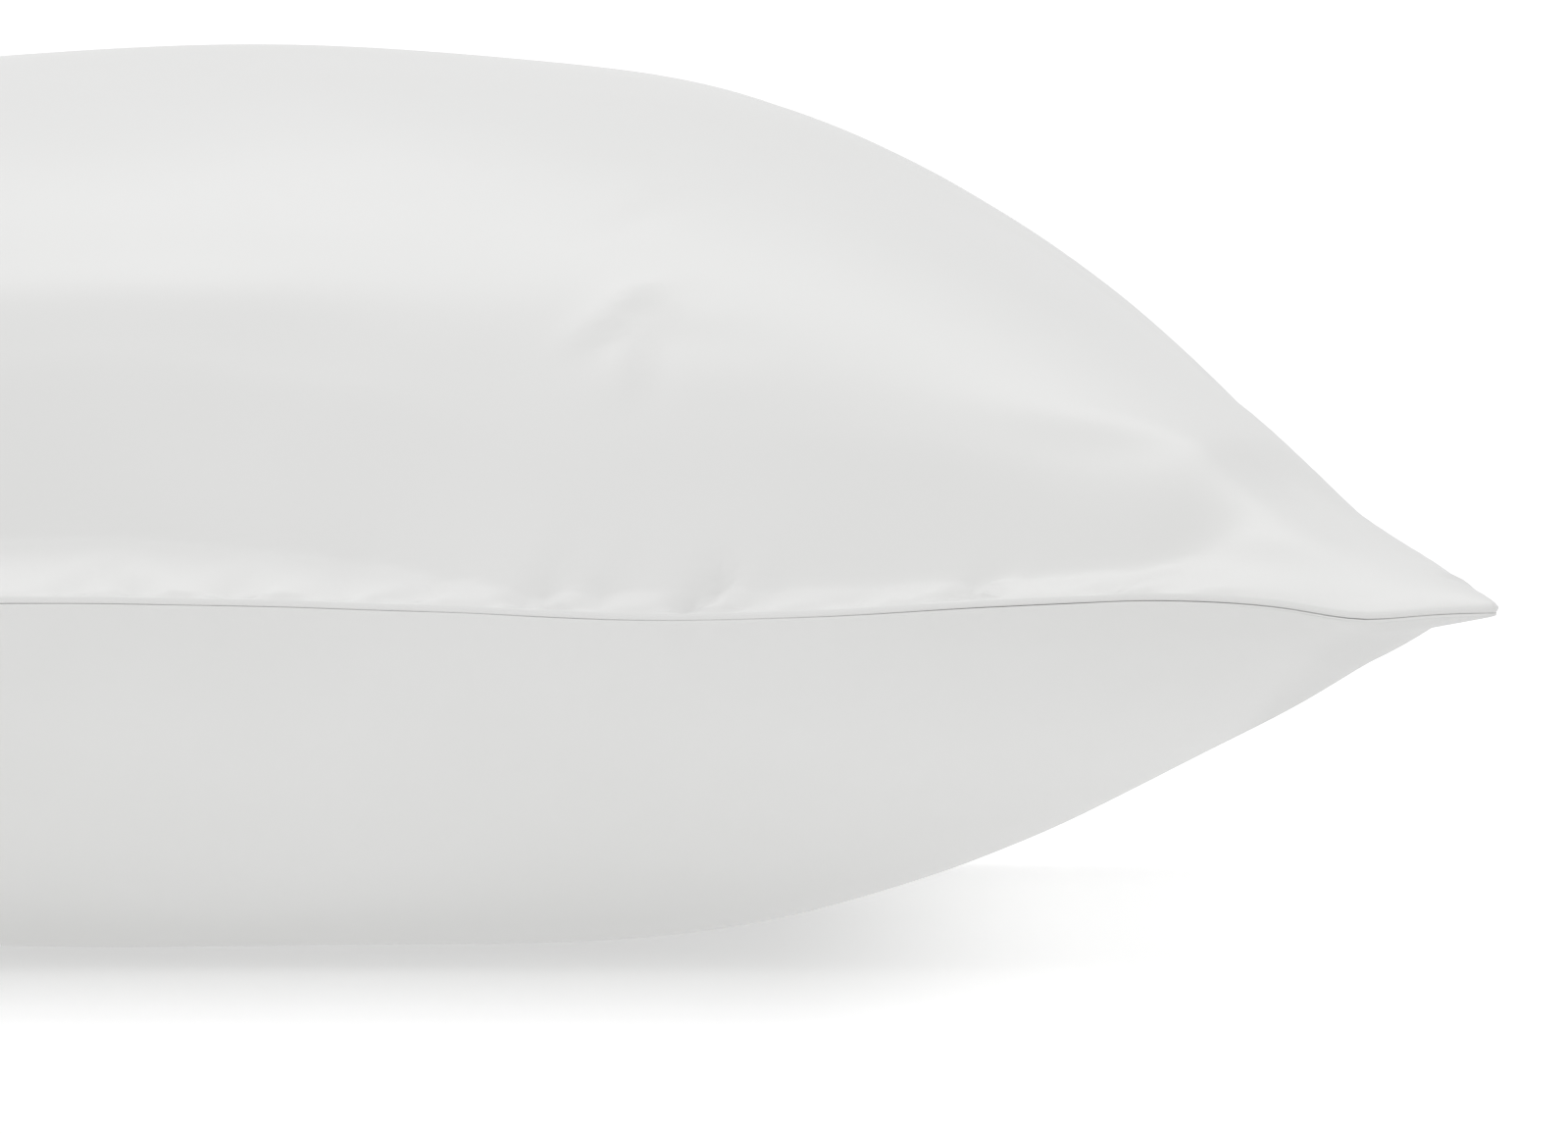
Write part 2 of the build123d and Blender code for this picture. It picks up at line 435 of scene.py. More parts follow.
# The width of the low ledge that the top panel makes beside the near seam: (place, width).
NEAR_LEDGE = [
    (-254, 50), (-225, 40), (-200, 22), (-150, 12), (-90, 18), (-40, 34), (-10, 36), (14, 29), (30, 26),
    (48, 17), (66, 10), (84, 12), (120, 14), (170, 14), (184, 18), (198, 29), (214, 42), (232, 40),
    (254, 28),
]
LEDGE_FALL, LEDGE_RECOVER, LEDGE_BLUNT = 0.38, 34 * MM, 0.1
# From this place along the near seam, in mm, the ledge turns up later and more softly.
EAR_START, EAR_GROWTH = 180, 25
EAR_BLUNT, EAR_RECOVER = 0.4, 22 * MM
# The ledges of the other sides: their width in mm, how much and how slowly it varies, how far from the
# corner they start, and over what length they grow.
OTHER_LEDGE, LEDGE_SWAY, LEDGE_WAVE = 13, 5, 40 * MM
LEDGE_START, LEDGE_GROWTH = 18 * MM, 70 * MM


def ledge_drop(d, width, blunt=LEDGE_BLUNT, recover=LEDGE_RECOVER):
    """The cloth beside the seam lies flatter than the swell above it, and turns up at the ledge's
    far edge: sharply, or over the blunt share of its width."""
    width = np.maximum(width, 0.001 * MM)
    beyond = np.clip(d / width - 1 + blunt, 0, 2 * blunt)
    low = np.minimum(d / width, 1 + blunt) - beyond**2 / (4 * blunt)
    low -= smoothstep((d - width) / recover)
    return LEDGE_FALL * width * low / CROWN_RISE


LUMP_COUNT, LUMP_SIZES, LUMP_HEIGHT, LUMP_FADE = 14, (70, 170), 0.2 * MM, 0.35


def soft_lumps(a, b):
    """Slow unevenness of the filling under the cloth."""
    random = np.random.default_rng(5)
    total = np.zeros_like(a)
    for _ in range(LUMP_COUNT):
        size = random.uniform(*LUMP_SIZES) * MM
        angle, phase = random.uniform(0, 2 * math.pi, 2)
        wave = (a * CUT_X * math.cos(angle) + b * CUT_Y * math.sin(angle)) / size
        total += np.sin(2 * math.pi * wave + phase)
    edge = np.minimum(1 - a**2, 1 - b**2)
    return LUMP_HEIGHT * total * smoothstep(edge / LUMP_FADE)


# The star crease: its point on the cloth, and its strokes from there: (start, end, width, depth), in mm.
STAR_POINT = (85, -231)
STAR_STROKES = [
    ((0, 0), (-15, -31), 2.4, 1.3), ((-3, -14), (-4, -46), 2.6, 1.3), ((2, 1), (3, -12), 2.0, 0.9),
    ((-12, 26), (5, 72), 4.0, 1.0),
]


def star_crease(p):
    """The crease that runs slanting down from a point on the near shoulder, with its branches."""
    point = np.array(STAR_POINT) * MM
    total = np.zeros(p.shape[:-1])
    for start, end, width, depth in STAR_STROKES:
        start, end = point + np.array(start) * MM, point + np.array(end) * MM
        total += crease(p, start, end, width * MM, depth * MM)
    return total


# Places where the near front leans a little more than its form, or less, as the filling lies unevenly:
# (x, y on the cloth, half size along X, half size up the front, degrees steeper).
NEAR_LEANS = [
    (-14, -249, 46, 15, 6.5), (88, -259, 17, 10, -3.0), (172, -271, 23, 11, 7.5),
    (208, -273, 15, 17, -13.0),
]
# How much longer a lean's lower half is than its upper half, and how close to the seam leans fade out.
LEAN_TAIL, LEAN_FADE = 1.7, 30 * MM


def near_leans(p):
    total = np.zeros(p.shape[:-1])
    for x, y, half_x, half_y, steeper in NEAR_LEANS:
        along, down = (p[..., 0] / MM - x) / half_x, (y - p[..., 1] / MM) / half_y
        reach = np.where(down > 0, down / LEAN_TAIL, down)
        total -= math.radians(steeper) * half_y * MM * down * np.exp(-(reach**2) - along**2)
    return total * smoothstep((CUT_Y + p[..., 1]) / LEAN_FADE)


def four_sides(a, b):
    """For the near, far, right and left sides: place along the side, distance inward, half length."""
    x, y = a * CUT_X, b * CUT_Y
    return [
        (x, CUT_Y + y, CUT_X), (x, CUT_Y - y, CUT_X),
        (y, CUT_X - x, CUT_Y), (y, CUT_X + x, CUT_Y),
    ]


def top_ledges(a, b):
    """How far the ledges lower what the long sides and the ends allow, as a share of the rise."""
    near, far, right, left = four_sides(a, b)
    near_width = smooth_through(NEAR_LEDGE, near[0] / MM) * MM
    on_ear = smoothstep((near[0] / MM - EAR_START) / EAR_GROWTH)
    blunt, recover = LEDGE_BLUNT + EAR_BLUNT * on_ear, LEDGE_RECOVER + EAR_RECOVER * on_ear
    ends = ledge_drop(near[1], near_width, blunt, recover)
    ends += ledge_drop(far[1], uneven_ledge(far[0], CUT_X, 0))
    sides = sum(ledge_drop(s[1], uneven_ledge(s[0], CUT_Y, k)) for k, s in enumerate((right, left)))
    return sides, ends


def uneven_ledge(s, half, phase):
    """Ledge widths along a side that isn't the near one: none at the corners."""
    from_corner = half - np.abs(s)
    width = (OTHER_LEDGE + LEDGE_SWAY * np.sin(s / LEDGE_WAVE + phase)) * MM
    return width * smoothstep((from_corner - LEDGE_START) / LEDGE_GROWTH)


def pucker_details(a, b, strength=1.0):
    total = np.zeros_like(a)
    all_puckers = (NEAR_PUCKERS, FAR_PUCKERS, RIGHT_PUCKERS, LEFT_PUCKERS)
    for (s, d, half), puckers in zip(four_sides(a, b), all_puckers):
        total += pucker_field(s, d, puckers, strength) * smoothstep((half - np.abs(s)) / PUCKER_FADE)
    return total


def top_details(a, b):
    """Everything small on the top panel, as a height along its normal."""
    place = np.stack([a * CUT_X, b * CUT_Y], -1)
    return soft_lumps(a, b) + near_leans(place) + star_crease(place) + pucker_details(a, b)


def bottom_details(a, b):
    """The bottom panel is pulled smooth by the weight on it, with faint puckers at its seam."""
    return BELLY_LUMPS * soft_lumps(-a, b) + pucker_details(a, b, BELLY_PUCKERS)


# ==================== cloth simulation
SIM_COUNT_A, SIM_COUNT_B = 68, 88
SIM_FRAMES = 18
SIM_PRESSURE = 4.0
SIM_GATHER_FRAMES, SIM_HOLD = 10, 0.2
SIM_CAP = 3 * MM
SIM_SLOW_PASSES = 60
# How much longer the cloth is than its seam, and where between middle and seam that starts and grows.
SEAM_EASE, EASE_ENDS, EASE_SIDES = 0.028, (0.72, 0.26), (0.64, 0.34)
# The share of the wrinkles that shows: underneath, at the near end, and what the rest of the top adds.
BELLY_WRINKLES, NEAR_WRINKLES, MORE_WRINKLES = 0.22, 0.16, 0.34
WRINKLE_FADE = 0.03


def welded_shell(top, bottom):
    """Both panels' grids as one mesh that shares the seam's points, and which points the bottom uses."""
    rows, cols = top.shape[:2]
    at = np.arange(rows * cols).reshape(rows, cols)
    inner = at.copy()
    inner[1:-1, 1:-1] = rows * cols + np.arange((rows - 2) * (cols - 2)).reshape(rows - 2, cols - 2)
    points = np.concatenate([top.reshape(-1, 3), bottom[1:-1, 1:-1].reshape(-1, 3)])
    upper = grid_faces(at)
    lower = np.stack([inner[:-1, :-1], inner[:-1, 1:], inner[1:, 1:], inner[1:, :-1]], -1).reshape(-1, 4)
    return points, np.concatenate([upper, lower]), at, inner


def uneased(a, b, side):
    """The panel before its edges were eased into the seam: a little long in the middle of each side."""
    form = surface(a, b, side, ledges=0)
    x, y = form[..., 0].copy(), form[..., 1].copy()
    at_ends = smoothstep((np.abs(b) - EASE_ENDS[0]) / EASE_ENDS[1])
    at_sides = smoothstep((np.abs(a) - EASE_SIDES[0]) / EASE_SIDES[1])
    form[..., 0] += SEAM_EASE * x * (1 - (x / HALF_X) ** 2) ** 2 * at_ends
    form[..., 1] += SEAM_EASE * y * (1 - (y / HALF_Y) ** 2) ** 2 * at_sides
    return form


def gather_seam(shell, eased):
    """The seam is drawn in to its sewn length over the first frames."""
    shell.shape_key_add(name="uneased")
    gather = shell.shape_key_add(name="eased")
    gather.data.foreach_set("co", eased.astype(np.float32).ravel())
    for frame_number, amount in ((1, 0.0), (SIM_GATHER_FRAMES, 1.0)):
        gather.value = amount
        gather.keyframe_insert("value", frame=frame_number)


def hold_points(shell):
    """The seam is held fast, and the rest of the cloth is held softly near its form."""
    hold = shell.vertex_groups.new(name="hold")
    for index in range(len(shell.data.vertices)):
        hold.add([index], SIM_HOLD, "REPLACE")
    for index in rim(SIM_COUNT_A, SIM_COUNT_B):
        hold.add([int(index)], 1.0, "REPLACE")


def make_cloth(shell):
    """The shell as a light, firm cotton that its filling presses outward."""
    cloth = shell.modifiers.new("cloth", "CLOTH")
    settings = cloth.settings
    settings.quality = 6
    settings.mass = 0.05
    settings.tension_stiffness = settings.compression_stiffness = 30
    settings.shear_stiffness = 12
    settings.bending_stiffness = 4
    settings.vertex_group_mass = "hold"
    settings.pin_stiffness = 1.0
    settings.use_pressure = True
    settings.uniform_pressure_force = SIM_PRESSURE
    settings.effector_weights.gravity = 0
    cloth.collision_settings.use_collision = False
    cloth.collision_settings.use_self_collision = False
    cloth.point_cache.frame_start, cloth.point_cache.frame_end = 1, SIM_FRAMES


def settle(shell):
    """Steps the simulation, and returns where the shell's points end up. The shell is removed."""
    scene = bpy.context.scene
    scene.frame_start, scene.frame_end = 1, SIM_FRAMES
    for frame_number in range(1, SIM_FRAMES + 1):
        scene.frame_set(frame_number)
    settled = np.zeros(len(shell.data.vertices) * 3, np.float32)
    shell.evaluated_get(bpy.context.evaluated_depsgraph_get()).data.vertices.foreach_get("co", settled)
    bpy.data.objects.remove(shell, do_unlink=True)
    scene.frame_set(1)
    return settled.reshape(-1, 3).astype(float)


def wrinkles_of(moved, a, b, side):
    """The fine part of how far a panel's points moved, fainter where the near end has its own puckers."""
    moved = moved - smooth(moved, SIM_SLOW_PASSES)
    edge = np.minimum(1 - np.abs(a), 1 - np.abs(b))
    shown = NEAR_WRINKLES + MORE_WRINKLES * smoothstep((b + 0.8) / 0.5) if side > 0 else BELLY_WRINKLES
    return shown * SIM_CAP * np.tanh(smooth(moved, 1) / SIM_CAP) * smoothstep(edge / WRINKLE_FADE)


def simulate():
    """The shell as real cloth: cut flat, sewn round, blown up by its filling. Returns the wrinkles,
    as heights along the normals of the two coarse grids."""
    a, b = np.meshgrid(np.linspace(-1, 1, SIM_COUNT_A), np.linspace(-1, 1, SIM_COUNT_B), indexing="ij")
    top, bottom = surface(a, b, 1, ledges=0), surface(a, b, -1)
    eased, faces, upper, lower = welded_shell(top, bottom)
    slack = welded_shell(uneased(a, b, 1), uneased(a, b, -1))[0]
    shell = mesh_object("sim_shell", slack, faces)
    gather_seam(shell, eased)
    hold_points(shell)
    make_cloth(shell)
    settled = settle(shell)
    wrinkles = []
    for start, index, side in ((top, upper, 1), (bottom, lower, -1)):
        moved = np.sum((settled[index] - start) * grid_normals(start, side), -1)
        wrinkles.append(wrinkles_of(moved, a, b, side))
    return wrinkles


def smooth(field, passes):
    """A grid with its fine detail averaged away."""
    for _ in range(passes):
        padded = np.pad(field, 1, mode="edge")
        beside = padded[2:, 1:-1] + padded[:-2, 1:-1] + padded[1:-1, 2:] + padded[1:-1, :-2]
        field = beside / 8 + field / 2
    return field


def spline_weights(places, count):
    """Weights that read a smooth cubic curve through count even knots at the given places."""
    at = (places + 1) / 2 * (count - 1)
    away = np.abs(at[:, None] - np.arange(count)[None])
    near = 2 / 3 - away**2 + away**3 / 2
    far = np.clip(2 - away, 0, None) ** 3 / 6
    weight = np.where(away < 1, near, far)
    return weight / weight.sum(1, keepdims=True)


def wrinkle_field(ta, tb, coarse):
    return spline_weights(ta, coarse.shape[0]) @ coarse @ spline_weights(tb, coarse.shape[1]).T


# ==================== grids
def ticks(half):
    """Places across the cloth from -1 to 1, close together by the seams and wider in the middle."""
    steps = [EDGE_STEP]
    while sum(steps) < half:
        steps.append(min(MID_STEP, steps[-1] * STEP_GROWTH))
    at = np.concatenate([[0], np.cumsum(steps)]) / sum(steps)
    return np.concatenate([at - 1, (1 - at[:-1])[::-1]])


def surface(a, b, side, edge_inset=0.0, edge_lift=0.0, ledges=1.0):
    """The smooth form of a panel: side 1 is the top one, side -1 the bottom one."""
    u = plan_fraction(a, b, ARC_X)
    v = plan_fraction(b, a, ARC_Y)
    x, y = plan(u, v, edge_inset)
    if side > 0:
        side_ledge, end_ledge = top_ledges(a, b)
        z = CROWN_RISE * swell(u, v, TOP_SQUARE_SHARES, TOP_FILL, ledges * side_ledge, ledges * end_ledge)
        z += SHOULDER * np.exp(-(((np.abs(u) - SHOULDER_PLACE) / SHOULDER_WIDTH) ** 2)) * (1 - v**2)
    else:
        z = -BELLY_DROP * swell(u, v, BOTTOM_SQUARE_SHARES, BOTTOM_FILL) * under_ear(u, v)
    z = SEAM_Z + z + side * (edge_lift + label_gape(x, y)) + seam_level(x, y)
    return np.stack([x, y, z if side > 0 else rest_on_floor(z)], -1)


def grid_faces(at):
    """The quads of a grid of point indices."""
    return np.stack([at[:-1, :-1], at[1:, :-1], at[1:, 1:], at[:-1, 1:]], -1).reshape(-1, 4)


def unit(vectors):
    return vectors / np.maximum(np.linalg.norm(vectors, axis=-1, keepdims=True), 1e-15)


def grid_normals(p, side):
    return unit(np.cross(np.gradient(p, axis=0), np.gradient(p, axis=1)) * side)


def rim(count_a, count_b):
    """Indices round a grid's edge, anticlockwise from above."""
    at = np.arange(count_a * count_b).reshape(count_a, count_b)
    return np.concatenate([at[:-1, 0], at[-1, :-1], at[:0:-1, -1], at[0, :0:-1]])


def loop_outward(points):
    """Unit vectors in plan that point out of a closed anticlockwise loop."""
    run = np.roll(points, -1, axis=0) - np.roll(points, 1, axis=0)
    out = np.stack([run[:, 1], -run[:, 0], np.zeros(len(run))], -1)
    for _ in range(2):
        out = (np.roll(out, 1, axis=0) + 2 * out + np.roll(out, -1, axis=0)) / 4
    return unit(out)


def sheet_mesh(name, outer, faces, edge_loop, uv):
    """A closed sheet of cloth: the right side given, the wrong side CLOTH behind it, and a rim."""
    corners = outer[faces]
    flat = np.cross(corners[:, 2] - corners[:, 0], corners[:, 3] - corners[:, 1])
    normal = np.zeros_like(outer)
    for k in range(4):
        np.add.at(normal, faces[:, k], flat)
    count = len(outer)
    points = np.concatenate([outer, outer - CLOTH * unit(normal)])
    wrong_side = faces[:, ::-1] + count
    following = np.roll(edge_loop, -1)
    edge = np.stack([edge_loop, edge_loop + count, following + count, following], -1)
    return mesh_object(name, points, np.concatenate([faces, wrong_side, edge]), np.concatenate([uv, uv]))


def mesh_object(name, points, faces, uv=None):
    mesh = bpy.data.meshes.new(name)
    mesh.from_pydata([tuple(p) for p in points], [], [tuple(int(i) for i in f) for f in faces])
    mesh.polygons.foreach_set("use_smooth", [True] * len(mesh.polygons))
    if uv is not None:
        layer = mesh.uv_layers.new(name="cloth")
        loops = np.zeros(len(mesh.loops), np.int32)
        mesh.loops.foreach_get("vertex_index", loops)
        layer.data.foreach_set("uv", uv[loops].astype(np.float32).ravel())
    mesh.validate()
    obj = bpy.data.objects.new(name, mesh)
    bpy.context.collection.objects.link(obj)
    return obj


def strip(first, second):
    """Quads between two loops of indices, the second outside or below the first."""
    return np.stack([first, second, np.roll(second, -1), np.roll(first, -1)], -1)


def roll_section(side):
    """The seam roll from the panel to where it tucks inside: distances outward, toward the seam and
    along the cloth. The bottom panel's roll is the same way up as the top's, mirrored by its caller."""
    out, toward, along = [0.0], [0.0], [0.0]
    for start, end, length in TOP_ROLL if side > 0 else BOTTOM_ROLL:
        step = length * MM / ROLL_STEPS
        for k in range(ROLL_STEPS):
            facing = math.radians(start + (end - start) * (k + 0.5) / ROLL_STEPS)
            out.append(out[-1] + step * math.sin(facing))
            toward.append(toward[-1] + step * math.cos(facing))
            along.append(along[-1] + step)
    return out, toward, along


def rolled_lift(side):
    """How far the panel's edge is drawn in and raised to sit on top of its seam roll."""
    out, toward, _ = roll_section(side)
    return max(out) + (0 if side > 0 else OVERHANG), PLY_GAP + toward[-1]


def finished_surface(a, b, side, wrinkles):
    """A panel's right side with all its details."""
    p = surface(a, b, side, *rolled_lift(side))
    details = top_details(a, b) if side > 0 else bottom_details(a, b)
    p = p + grid_normals(p, side) * (details + wrinkles)[..., None]
    if side < 0:
        p[..., 2] = np.maximum(p[..., 2], 0)
    return p


def seam_rings(edge, side):
    """The rings of points beyond a panel's edge, round its seam roll and along the allowance inside,
    each with how far along the cloth it lies."""
    outward = loop_outward(edge)
    rings = []
    for out, toward, along in list(zip(*roll_section(side)))[1:]:
        ring = edge + outward * out
        ring[:, 2] -= side * toward
        rings.append((ring, along))
    groove = rings[-1][0]
    for depth in ALLOWANCE_STEPS:
        rings.append((groove * np.array([1 - depth / HALF_X, 1 - depth / HALF_Y, 1]), along + depth))
    return rings


def make_panel(name, side, wrinkles):
    """One shell panel: its grid, the roll of cloth at its seam, and the seam allowance inside."""
    ta, tb = ticks(CUT_X), ticks(CUT_Y)
    a, b = np.meshgrid(ta, tb, indexing="ij")
    p = finished_surface(a, b, side, wrinkle_field(ta, tb, wrinkles))
    rows, cols = a.shape
    at = np.arange(rows * cols).reshape(rows, cols)
    faces = grid_faces(at)

    loop = rim(rows, cols)
    points, uv = [p.reshape(-1, 3)], [np.stack([a * CUT_X, b * CUT_Y], -1).reshape(-1, 2)]
    edge_uv = uv[0][loop]
    previous, count = loop, rows * cols
    for ring, along in seam_rings(points[0][loop], side):
        current = np.arange(count, count + len(loop))
        faces = np.concatenate([faces, strip(previous, current)])
        points.append(ring)
        uv.append(edge_uv * (1 + along / CUT_X))
        previous, count = current, count + len(loop)
    if side < 0:
        faces = faces[:, ::-1]
    edge_loop = previous if side > 0 else previous[::-1]
    return sheet_mesh(name, np.concatenate(points), faces, edge_loop, np.concatenate(uv))


# ==================== filling
def lumpy(p, seed, size, depth):
    """Uneven fibre: slow sine lumps added to a grid of points along Z and outward."""
    random = np.random.default_rng(seed)
    total = np.zeros(p.shape[:-1])
    for _ in range(FIBRE_WAVES):
        way = random.normal(size=3)
        way *= 2 * math.pi / (size * random.uniform(*FIBRE_SPREAD) * np.linalg.norm(way))
        total += np.sin(p @ way + random.uniform(0, 2 * math.pi))
    return depth * total / 3


def two_sided(name, first, second):
    """A closed piece between two grids of points that face away from each other."""
    rows, cols = first.shape[:2]
    at = np.arange(rows * cols).reshape(rows, cols)
    faces = grid_faces(at)
    loop = rim(rows, cols)
    points = np.concatenate([first.reshape(-1, 3), second.reshape(-1, 3)])
    below = rows * cols
    sides = strip(loop, loop + below)
    return mesh_object(name, points, np.concatenate([faces, faces[:, ::-1] + below, sides]))


def fill_surface(a, b, side, depth, plan_inset):
    """The panel's form, lowered by depth and drawn in from the seam by plan_inset."""
    p = surface(a, b, side)
    shrink = 1 - plan_inset / np.array([HALF_X, HALF_Y])
    p[..., :2] *= shrink
    p[..., 2] -= side * depth * np.clip((side * (p[..., 2] - SEAM_Z)) / (3 * depth), 0, 1)
    return p


def make_filling():
    """A core of loose fibre, with a sheet of batting over it and another under it."""
    ta, tb = np.linspace(-1, 1, FILL_COUNT_A), np.linspace(-1, 1, FILL_COUNT_B)
    a, b = np.meshgrid(ta, tb, indexing="ij")
    edge = smoothstep(np.minimum(1 - np.abs(a), 1 - np.abs(b)) / FIBRE_FADE)
    pieces, core = {}, {}
    for side in (1, -1):
        p = fill_surface(a, b, side, BATT, CORE_INSET)
        lumps = lumpy(p, 21, *CORE_LUMPS) * edge
        p[..., 2] += side * (lumps - CORE_SINK * edge)
        core[side] = p
    pieces["fill_core"] = two_sided("fibre_core", core[1], core[-1])
    for side, name in ((1, "fill_batt_top"), (-1, "fill_batt_bottom")):
        outer = fill_surface(a, b, side, BATT_CLEARANCE, BATT_INSET)
        outer[..., 2] += side * SEAM_GAP
        outer[..., 2] -= side * (BATT_SINK + np.abs(lumpy(outer, 30 + side, *BATT_LUMPS))) * edge
        inner = core[side] + np.array([0, 0, side * SEAM_GAP])
        first, second = (outer, inner) if side > 0 else (inner, outer)
        pieces[name] = two_sided("batt_top" if side > 0 else "batt_bottom", first, second)
    for node, piece in pieces.items():
        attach(piece, "root")
        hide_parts(node)
    return pieces


# ==================== thread
# The threads' radii, and how far each stitch stands up or out from its seam.
SEAM_THREAD, OVERLOCK_THREAD, CLOSING_THREAD = 0.12 * MM, 0.11 * MM, 0.17 * MM
LOCK_HEIGHT, LOCK_SQUARENESS = 0.42 * MM, 2.2
OVERLOCK_REACH, OVERLOCK_HEIGHT = 1.3 * MM, 0.75 * MM
CLOSING_HEIGHT, CLOSING_SHOWN, CLOSING_TURN = 0.1 * MM, 0.72, 0.1
# A direction that no thread runs along.
CROSSWISE = np.array([0.31, 0.17, 0.94])


def tube(name, path, radius, sides, closed):
    """A thread of round section along a path of points."""
    run = np.gradient(path, axis=0)
    if closed:
        run = np.roll(path, -1, axis=0) - np.roll(path, 1, axis=0)
    run = unit(run)
    side = unit(np.cross(run, CROSSWISE))
    up = np.cross(side, run)
    turn = np.linspace(0, 2 * math.pi, sides, endpoint=False)
    ring = np.cos(turn)[None, :, None] * side[:, None] + np.sin(turn)[None, :, None] * up[:, None]
    points = (path[:, None] + radius * ring).reshape(-1, 3)
    at = np.arange(len(path) * sides).reshape(len(path), sides)
    start, end = at[:-1], at[1:]
    if closed:
        start, end = at, np.roll(at, -1, axis=0)
    faces = np.stack([start, np.roll(start, -1, 1), np.roll(end, -1, 1), end], -1).reshape(-1, 4)
    caps = [] if closed else [tuple(at[0, ::-1]), tuple(at[-1])]
    return mesh_object(name, points, [tuple(f) for f in faces] + caps)


def run_length(path):
    return np.concatenate([[0], np.cumsum(np.linalg.norm(np.diff(path, axis=0), axis=1))])


def seam_path(inset, step):
    """Points along the whole seam line, inset from the edge, starting at the opening's right end."""
    t = np.linspace(-1, 1, 400)
    sides = [(t, -np.ones_like(t)), (np.ones_like(t), t), (-t, np.ones_like(t)), (-np.ones_like(t), -t)]
    u, v = (np.concatenate([side[k][:-1] for side in sides]) for k in range(2))
    x, y = plan(u, v, inset)
    loop = np.stack([x, y, SEAM_Z + seam_level(x, y)], -1)
    start = np.argmin(np.hypot(x - OPENING / 2, y - HALF_Y + END_PULL) + 9 * (y < 0))
    loop = np.roll(loop, -start, axis=0)
    loop = np.concatenate([loop, loop[:1]])
    length = run_length(loop)
    at = np.arange(0, length[-1], step)
    return np.stack([np.interp(at, length, loop[:, k]) for k in range(3)], -1), at


def in_opening(p):
    return (np.abs(p[:, 0]) < OPENING / 2) & (p[:, 1] > 0)


def lockstitch():
    """The seam's lockstitch, through both plies, all the way round but for the opening."""
    path, at = seam_path(STITCH_INSET, STITCH / 6)
    opening = in_opening(path)
    sewn = ~opening & (np.arange(len(path)) > np.argmax(opening))
    path, at = path[sewn], at[sewn]
    path[:, 2] += LOCK_HEIGHT * np.tanh(LOCK_SQUARENESS * np.sin(2 * math.pi * at / STITCH))
    return tube("seam_lockstitch", path, SEAM_THREAD, 6, False)


def overlock():
    """Overlock loops that wrap the raw edges of the two seam allowances together."""
    path, at = seam_path(SEAM_ALLOWANCE, OVERLOCK / 8)
    outward = loop_outward(path)
    turn = 2 * math.pi * at / OVERLOCK
    path = path + outward * (OVERLOCK_REACH * np.cos(turn)[:, None])
    path[:, 2] += OVERLOCK_HEIGHT * np.sin(turn)
    return tube("overlock_loops", path, OVERLOCK_THREAD, 5, True)


def closing_stitches():
    """The topstitching that closes the opening at the far end: dashes that show above and below."""
    at = np.arange(-OPENING / 2 + MM, OPENING / 2 - MM, STITCH / 10)
    a = at / CUT_X
    upper, lower = (closing_line(a, side, wrinkles) for side, wrinkles in SIDES)
    phase = (at / STITCH) % 1
    above = smoothstep(phase / CLOSING_TURN) * smoothstep((CLOSING_SHOWN - phase) / CLOSING_TURN)
    path = lower + (upper - lower) * above[:, None]
    path[:, 2] += (2 * above - 1) * CLOSING_HEIGHT
    return tube("closing_topstitch", path, CLOSING_THREAD, 6, False)


def closing_line(a, side, wrinkles):
    """The line on the right side of a finished panel where the closing stitches lie. A second line
    just inside it gives the cloth's slope there."""
    b = 1 - np.array([CLOSING_INSET + 0.1 * MM, CLOSING_INSET]) / CUT_Y
    across, along = np.meshgrid(a, b, indexing="ij")
    return finished_surface(across, along, side, wrinkle_field(a, b, wrinkles))[:, 1]


# ==================== care label
def label_path(y_edge, level):
    """The tape's middle line, in Y and Z: out of the seam, over its edge and down."""
    swing = np.linspace(0, math.pi / 2, 9)[1:]
    y_turn = y_edge + LABEL_CLEARANCE
    path = [(y_edge - LABEL_INSIDE, level), (y_turn, level)]
    path += [(y_turn + LABEL_BEND * math.sin(t), level - LABEL_BEND * (1 - math.cos(t))) for t in swing]
    drop = np.linspace(0, LABEL_HANG, 12)[1:]
    y_out, z_out = path[-1]
    path += [(y_out + LABEL_SWAY * (d / LABEL_HANG) ** 2, z_out - d) for d in drop]
    return np.array(path)


def folded(path, half_gap):
    """The path of a tape folded double about the middle line, from one raw end to the other."""
    normal = unit(np.stack([-np.gradient(path[:, 1]), np.gradient(path[:, 0])], -1))
    outer, inner = path + normal * half_gap, path - normal * half_gap
    end = path[-1]
    out, down = unit(outer[-1] - end), np.array([0.0, -1.0])
    turn = np.linspace(0, math.pi, 7)[1:-1]
    fold = [end + half_gap * (out * math.cos(t) + down * math.sin(t)) for t in turn]
    return np.concatenate([outer, fold, inner[::-1]])


